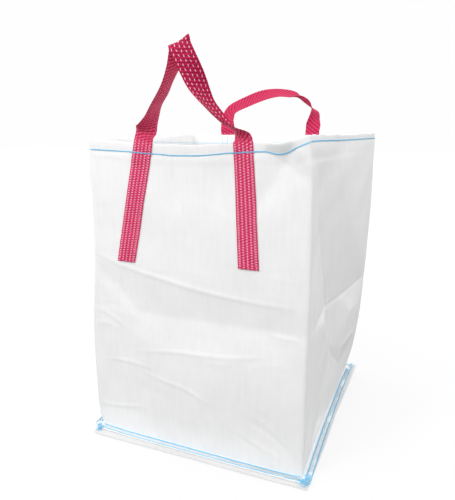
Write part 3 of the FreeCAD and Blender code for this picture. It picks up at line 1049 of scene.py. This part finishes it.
class Tubes:
    """Gathers round threads into one mesh, in millimetres."""

    def __init__(self):
        self.points, self.faces, self.count = [], [], 0

    def add(self, path, radius, sides=6, closed=False):
        path = np.asarray(path, float)
        n = len(path)
        ahead = np.roll(path, -1, 0) - np.roll(path, 1, 0)
        if not closed:
            ahead[0], ahead[-1] = path[1] - path[0], path[-1] - path[-2]
        ahead = unit(ahead)
        side = np.cross(ahead[0], (0.31, 0.17, 0.93))
        rings = []
        turn = np.arange(sides) * 2 * math.pi / sides
        for k in range(n):
            side = side - ahead[k] * (side @ ahead[k])
            side = side / max(np.linalg.norm(side), 1e-9)
            up = np.cross(ahead[k], side)
            rings.append(path[k] + radius * (np.cos(turn)[:, None] * side
                                             + np.sin(turn)[:, None] * up))
        self.points += [p for ring in rings for p in ring]
        base = self.count
        for k in range(n if closed else n - 1):
            a, b = base + k * sides, base + ((k + 1) % n) * sides
            for j in range(sides):
                h = (j + 1) % sides
                self.faces.append((a + j, a + h, b + h, b + j))
        if not closed:
            self.faces.append(tuple(base + j for j in reversed(range(sides))))
            self.faces.append(tuple(base + (n - 1) * sides + j for j in range(sides)))
        self.count += n * sides

    def piece(self, name, material, node, slot):
        made = new_piece(name, np.array(self.points) * MM, self.faces, material)
        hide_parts(node)
        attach(made, "bag")
        return made


def link(a, b, normal, width, lift=0.0, count=11):
    """One chain stitch from a to b: a flat loop of thread that lies on the cloth."""
    a, b = np.asarray(a), np.asarray(b)
    run = unit(b - a)
    across = unit(np.cross(normal, run))
    middle, half = (a + b) / 2, np.linalg.norm(b - a) / 2
    turn = np.arange(count) * 2 * math.pi / count
    taper = 1 - 0.35 * np.cos(turn)
    return (
        middle
        + run * (np.cos(turn) * half * 1.08)[:, None]
        + across * (np.sin(turn) * width * taper / 1.2)[:, None]
        + normal * (lift + 0.25 * np.cos(turn))[:, None]
    )


def strap_cover(point, side):
    """How far the webbing lifts a thread that crosses it, outward."""
    if side not in ("front", "back"):
        return 0.0
    for hand in ("left", "right"):
        foot, top, across = leg_line(f"{side}_{hand}")
        axis = unit(top - foot)
        off = (point[0] - foot[0]) * axis[1] - (point[2] - foot[1]) * axis[0]
        if abs(off) < WEB_WIDE / 2 + 1.5:
            return 2.35 * float(smoothstep((WEB_WIDE / 2 + 1.5 - abs(off)) / 1.5))
    return 0.0


def hem_threads():
    """The chain round the rim's outside and the needle thread inside."""
    chain, needle = Tubes(), Tubes()
    step = 2.1
    columns = np.arange(0, TOTAL, step)
    marks = np.append(columns, TOTAL)
    height = np.interp(marks % TOTAL, np.arange(TOTAL + 1), np.append(STITCH_LINE, STITCH_LINE[0]))
    height = height + rng.normal(0, 0.16, len(height))
    height[-1] = height[0]
    point, normal = on_cloth(marks, height)
    side = [SIDES[int((m % TOTAL) // COLUMNS)] for m in marks]
    lifts = np.array([strap_cover(p, s) for p, s in zip(point, side)])
    for k in range(len(marks) - 1):
        lift = CLOTH_HALF + 0.55
        a = point[k] + normal[k] * (lift + lifts[k])
        b = point[k + 1] + normal[k + 1] * (lift + lifts[k + 1])
        chain.add(link(a, b, normal[k], 0.86), 0.44, 5, closed=True)
        inside = CLOTH_HALF + 1.3 + 0.45 + 0.5
        middle = (point[k] + point[k + 1]) / 2 - normal[k] * (inside + 0.35)
        c = point[k] - normal[k] * (inside - 0.25)
        d = point[k + 1] - normal[k + 1] * (inside - 0.25)
        c, d = c + (d - c) * 0.08, d + (c - d) * 0.08
        needle.add(through([c, middle, d], 1.7), 0.36, 5)
    chain.piece("hem_chain", BLUE, "hem_chain_thread", "blue_thread")
    needle.piece("hem_needle", BLUE, "hem_needle_thread", "blue_thread")


def seam_path(side, out, number):
    """Points on the lip at a distance outside the wall's foot, along one side."""
    k = SIDES.index(side) * COLUMNS
    columns = np.linspace(k, k + COLUMNS, number)
    whole = np.floor(columns).astype(int)
    part = (columns - whole)[:, None]
    foot = walls[0]
    point = foot[whole % TOTAL] * (1 - part) + foot[(whole + 1) % TOTAL] * part
    run = unit(np.gradient(point, axis=0))
    for _ in range(40):
        point[1:-1] = (point[:-2] + 2 * point[1:-1] + point[2:]) / 4
    away = np.stack([run[:, 1], -run[:, 0], np.zeros(len(run))], 1)
    point = point + away * out
    point[:, 2] = 2.35
    extra = unit(point[4] - point[2]) * out * 0.7, unit(point[-3] - point[-5]) * out * 0.7
    return np.concatenate([[point[1] - extra[0]], point[2:-2], [point[-2] + extra[1]]])


def resample(path, number):
    run = np.concatenate([[0], np.cumsum(np.linalg.norm(np.diff(path, axis=0), axis=1))])
    at = np.linspace(0, run[-1], number)
    return np.stack([np.interp(at, run, path[:, k]) for k in range(3)], 1)


def tangle(tubes, at, reach, turns, radius, count=60, tall=3.0):
    """A loose knot of thread ends at a corner."""
    t = np.linspace(0, 2 * math.pi * turns, count)
    a, b = rng.uniform(0, 2 * math.pi, 2)
    path = np.stack([
        at[0] + reach[0] * np.sin(1.00 * t + a) * (0.7 + 0.3 * np.sin(0.37 * t)),
        at[1] + reach[1] * np.sin(1.31 * t + b) * (0.7 + 0.3 * np.cos(0.53 * t)),
        3.4 + tall * (0.5 + 0.5 * np.sin(1.7 * t + a)),
    ], 1)
    tubes.add(path, radius, 5)


def base_seams():
    corners_at = {}
    for side in SIDES:
        tubes = Tubes()
        shut = 3.6 if side == "front" else 0.0
        inner = seam_path(side, 7.0 - shut, 70)
        outer = seam_path(side, 16.6 - shut, 70)
        stitches = 84 if side in ("front", "back") else 84
        one, two = resample(inner, stitches), resample(outer, stitches)
        one[:, :2] += rng.normal(0, 0.18, (stitches, 2))
        two[:, :2] += rng.normal(0, 0.18, (stitches, 2))
        up = np.array([0.0, 0.0, 1.0])
        for k in range(stitches - 1):
            tubes.add(link(one[k] + up * 0.45, one[k + 1] + up * 0.45, up, 0.90), 0.52, 5, True)
            tubes.add(link(two[k] + up * 0.35, two[k + 1] + up * 0.35, up, 0.70), 0.46, 5, True)
        tangled = {
            "front": [((227, -242), (11, 10), 3.8, 6.0), ((-217, -247), (5, 9), 2.6, 2.6)],
            "right": [((229, -228), (6, 9), 2.4, 5.0), ((228, 236), (5, 8), 2.2, 5.0)],
            "back": [((-226, 238), (5, 6), 2.0, 3.0)],
            "left": [((-226, -236), (4, 6), 2.0, 3.0)],
        }[side]
        for at, reach, turns, tall in tangled:
            tangle(tubes, at, reach, turns, 0.5, tall=tall)
        hatch = Tubes()
        slant = 2
        zig = np.empty((2 * (stitches - slant), 3))
        zig[0::2] = one[:-slant]
        zig[1::2] = two[slant:]
        zig[:, 2] = 2.6
        hatch.add(zig, 0.26, 5)
        made = tubes.piece(f"base_seam_{side}", BLUE, f"base_seam_thread_{side}", "blue_thread")
        mat = new_piece(
            f"base_mat_{side}", np.array(hatch.points) * MM, hatch.faces, PALE_BLUE
        )
        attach(mat, "bag")


ROW_PLACES = (-13.0, 0.0, 13.0)
ROW_INSET = 5.0


def leg_threads():
    """Pink needle stitches over each sewn leg and blue bobbin stitches inside the wall."""
    for which in HANDLES:
        for hand in ("left", "right"):
            name = f"{which}_{hand}"
            foot, top, across = leg_line(name)
            axis = unit(top - foot)
            length = float(np.linalg.norm(top - foot))
            needle, bobbin = Tubes(), Tubes()
            pitch = 4.5
            number = int((length - 2 * ROW_INSET) / pitch)
            for place in ROW_PLACES:
                start = foot + axis * ROW_INSET + np.array([across[0], across[2]]) * place
                marks = start + axis * (np.arange(number + 1) * pitch)[:, None]
                marks = marks + rng.normal(0, 0.14, marks.shape)
                point, normal = on_cloth(column_of(which, marks[:, 0], marks[:, 1]), marks[:, 1])
                for k in range(number):
                    lift = CLOTH_HALF + 0.25 + WEB_THICK + 0.1
                    a, b = point[k] + normal[k] * lift, point[k + 1] + normal[k + 1] * lift
                    a, b = a + (b - a) * 0.14, b + (a - b) * 0.14
                    needle.add(through([a, (a + b) / 2 + normal[k] * 0.42, b], 1.0), 0.42, 5)
                    drop = CLOTH_HALF + 0.05
                    if marks[k, 1] > 566:
                        drop += 1.9
                    a, b = point[k] - normal[k] * drop, point[k + 1] - normal[k + 1] * drop
                    bobbin.add(through([a, (a + b) / 2 - normal[k] * 0.45, b], 1.2), 0.34, 5)
            label = f"{which}_handle_{hand}"
            needle.piece(f"{label}_stitches", PINK, f"{label}_needle_thread", "pink_thread")
            bobbin.piece(f"{label}_inside", BLUE, f"{label}_bobbin_thread", "blue_thread")


hem_threads()
base_seams()
leg_threads()
